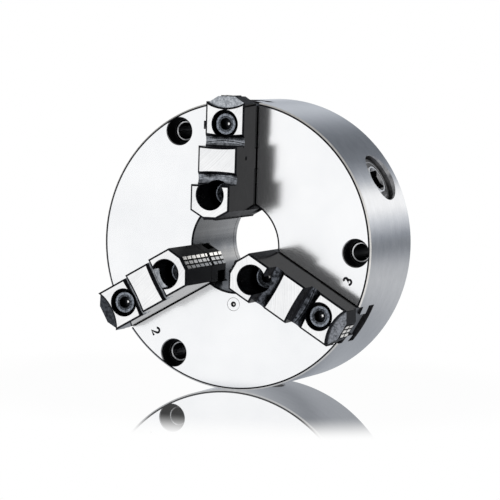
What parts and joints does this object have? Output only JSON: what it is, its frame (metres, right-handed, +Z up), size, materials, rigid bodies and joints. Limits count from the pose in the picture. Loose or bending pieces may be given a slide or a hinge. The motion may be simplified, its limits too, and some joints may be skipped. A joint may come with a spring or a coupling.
{
  "type": "three-jaw lathe chuck",
  "caption": "Self-centring scroll chuck for a lathe, front mounted, with two-piece stepped reversible jaws driven together by bevel pinions and a scroll plate.",
  "frame": {"origin": "centre of the rear mounting face, on the chuck axis", "axes": "+Y along the chuck axis out of the rear face, so the jaws point to -Y; +Z up through jaw 1; the chuck stands on its rim"},
  "size_m": [0.1118, 0.0688, 0.1139],
  "materials": {
    "body_steel": "finely ground face, turned rim",
    "cover_steel": "turned",
    "scroll_steel": "machined",
    "pinion_steel": "machined, lightly darkened",
    "jaw_steel": "hardened, ground steps, darker flanks",
    "master_steel": "hardened, dark",
    "black_oxide": "black oxide",
    "bright_steel": "polished",
    "spring_steel": "drawn wire"
  },
  "bodies": {
    "chuck": {"chuck_body": "body_steel", "rear_cover": "cover_steel", "cover_screw_1": "black_oxide", "cover_screw_2": "black_oxide", "cover_screw_3": "black_oxide", "cover_screw_4": "black_oxide", "cover_screw_5": "black_oxide", "cover_screw_6": "black_oxide", "pinion_screw_1": "black_oxide", "pinion_screw_2": "black_oxide", "pinion_screw_3": "black_oxide", "oiler_body": "bright_steel", "oiler_ball": "bright_steel", "oiler_spring": "spring_steel"},
    "scroll": {"scroll_plate": "scroll_steel"},
    "jaw_1": {"master_jaw_1": "master_steel", "top_jaw_1": "jaw_steel", "jaw_screw_inner_1": "black_oxide", "jaw_screw_outer_1": "black_oxide"},
    "jaw_2": {"master_jaw_2": "master_steel", "top_jaw_2": "jaw_steel", "jaw_screw_inner_2": "black_oxide", "jaw_screw_outer_2": "black_oxide"},
    "jaw_3": {"master_jaw_3": "master_steel", "top_jaw_3": "jaw_steel", "jaw_screw_inner_3": "black_oxide", "jaw_screw_outer_3": "black_oxide"},
    "pinion_1": {"pinion_1": "pinion_steel"},
    "pinion_2": {"pinion_2": "pinion_steel"},
    "pinion_3": {"pinion_3": "pinion_steel"}
  },
  "joints": [
    {"name": "scroll_turn", "type": "hinge", "parent": "chuck", "child": "scroll", "pos_m": [0, -0.0275, 0], "axis": [0, 1, 0], "range_deg": [-684, 684]},
    {"name": "jaw_1_slide", "type": "slide", "parent": "chuck", "child": "jaw_1", "axis": [0, 0, 1], "range_m": [-0.00951, 0.00951]},
    {"name": "jaw_2_slide", "type": "slide", "parent": "chuck", "child": "jaw_2", "axis": [-0.866, 0, -0.5], "range_m": [-0.00951, 0.00951]},
    {"name": "jaw_3_slide", "type": "slide", "parent": "chuck", "child": "jaw_3", "axis": [0.866, 0, -0.5], "range_m": [-0.00951, 0.00951]},
    {"name": "pinion_1_turn", "type": "hinge", "parent": "chuck", "child": "pinion_1", "pos_m": [0, -0.0156, 0], "axis": [0.866, 0, 0.5], "range_deg": [-4105, 4105]},
    {"name": "pinion_2_turn", "type": "hinge", "parent": "chuck", "child": "pinion_2", "pos_m": [0, -0.0156, 0], "axis": [-0.866, 0, 0.5], "range_deg": [-4105, 4105]},
    {"name": "pinion_3_turn", "type": "hinge", "parent": "chuck", "child": "pinion_3", "pos_m": [0, -0.0156, 0], "axis": [0, 0, -1], "range_deg": [-4105, 4105]}
  ],
  "couplings": [
    {"joint": "jaw_1_slide", "follows": "scroll_turn", "m_per_rad": 0.00079577},
    {"joint": "jaw_2_slide", "follows": "scroll_turn", "m_per_rad": 0.00079577},
    {"joint": "jaw_3_slide", "follows": "scroll_turn", "m_per_rad": 0.00079577},
    {"joint": "pinion_1_turn", "follows": "scroll_turn", "ratio": 6},
    {"joint": "pinion_2_turn", "follows": "scroll_turn", "ratio": 6},
    {"joint": "pinion_3_turn", "follows": "scroll_turn", "ratio": 6}
  ]
}
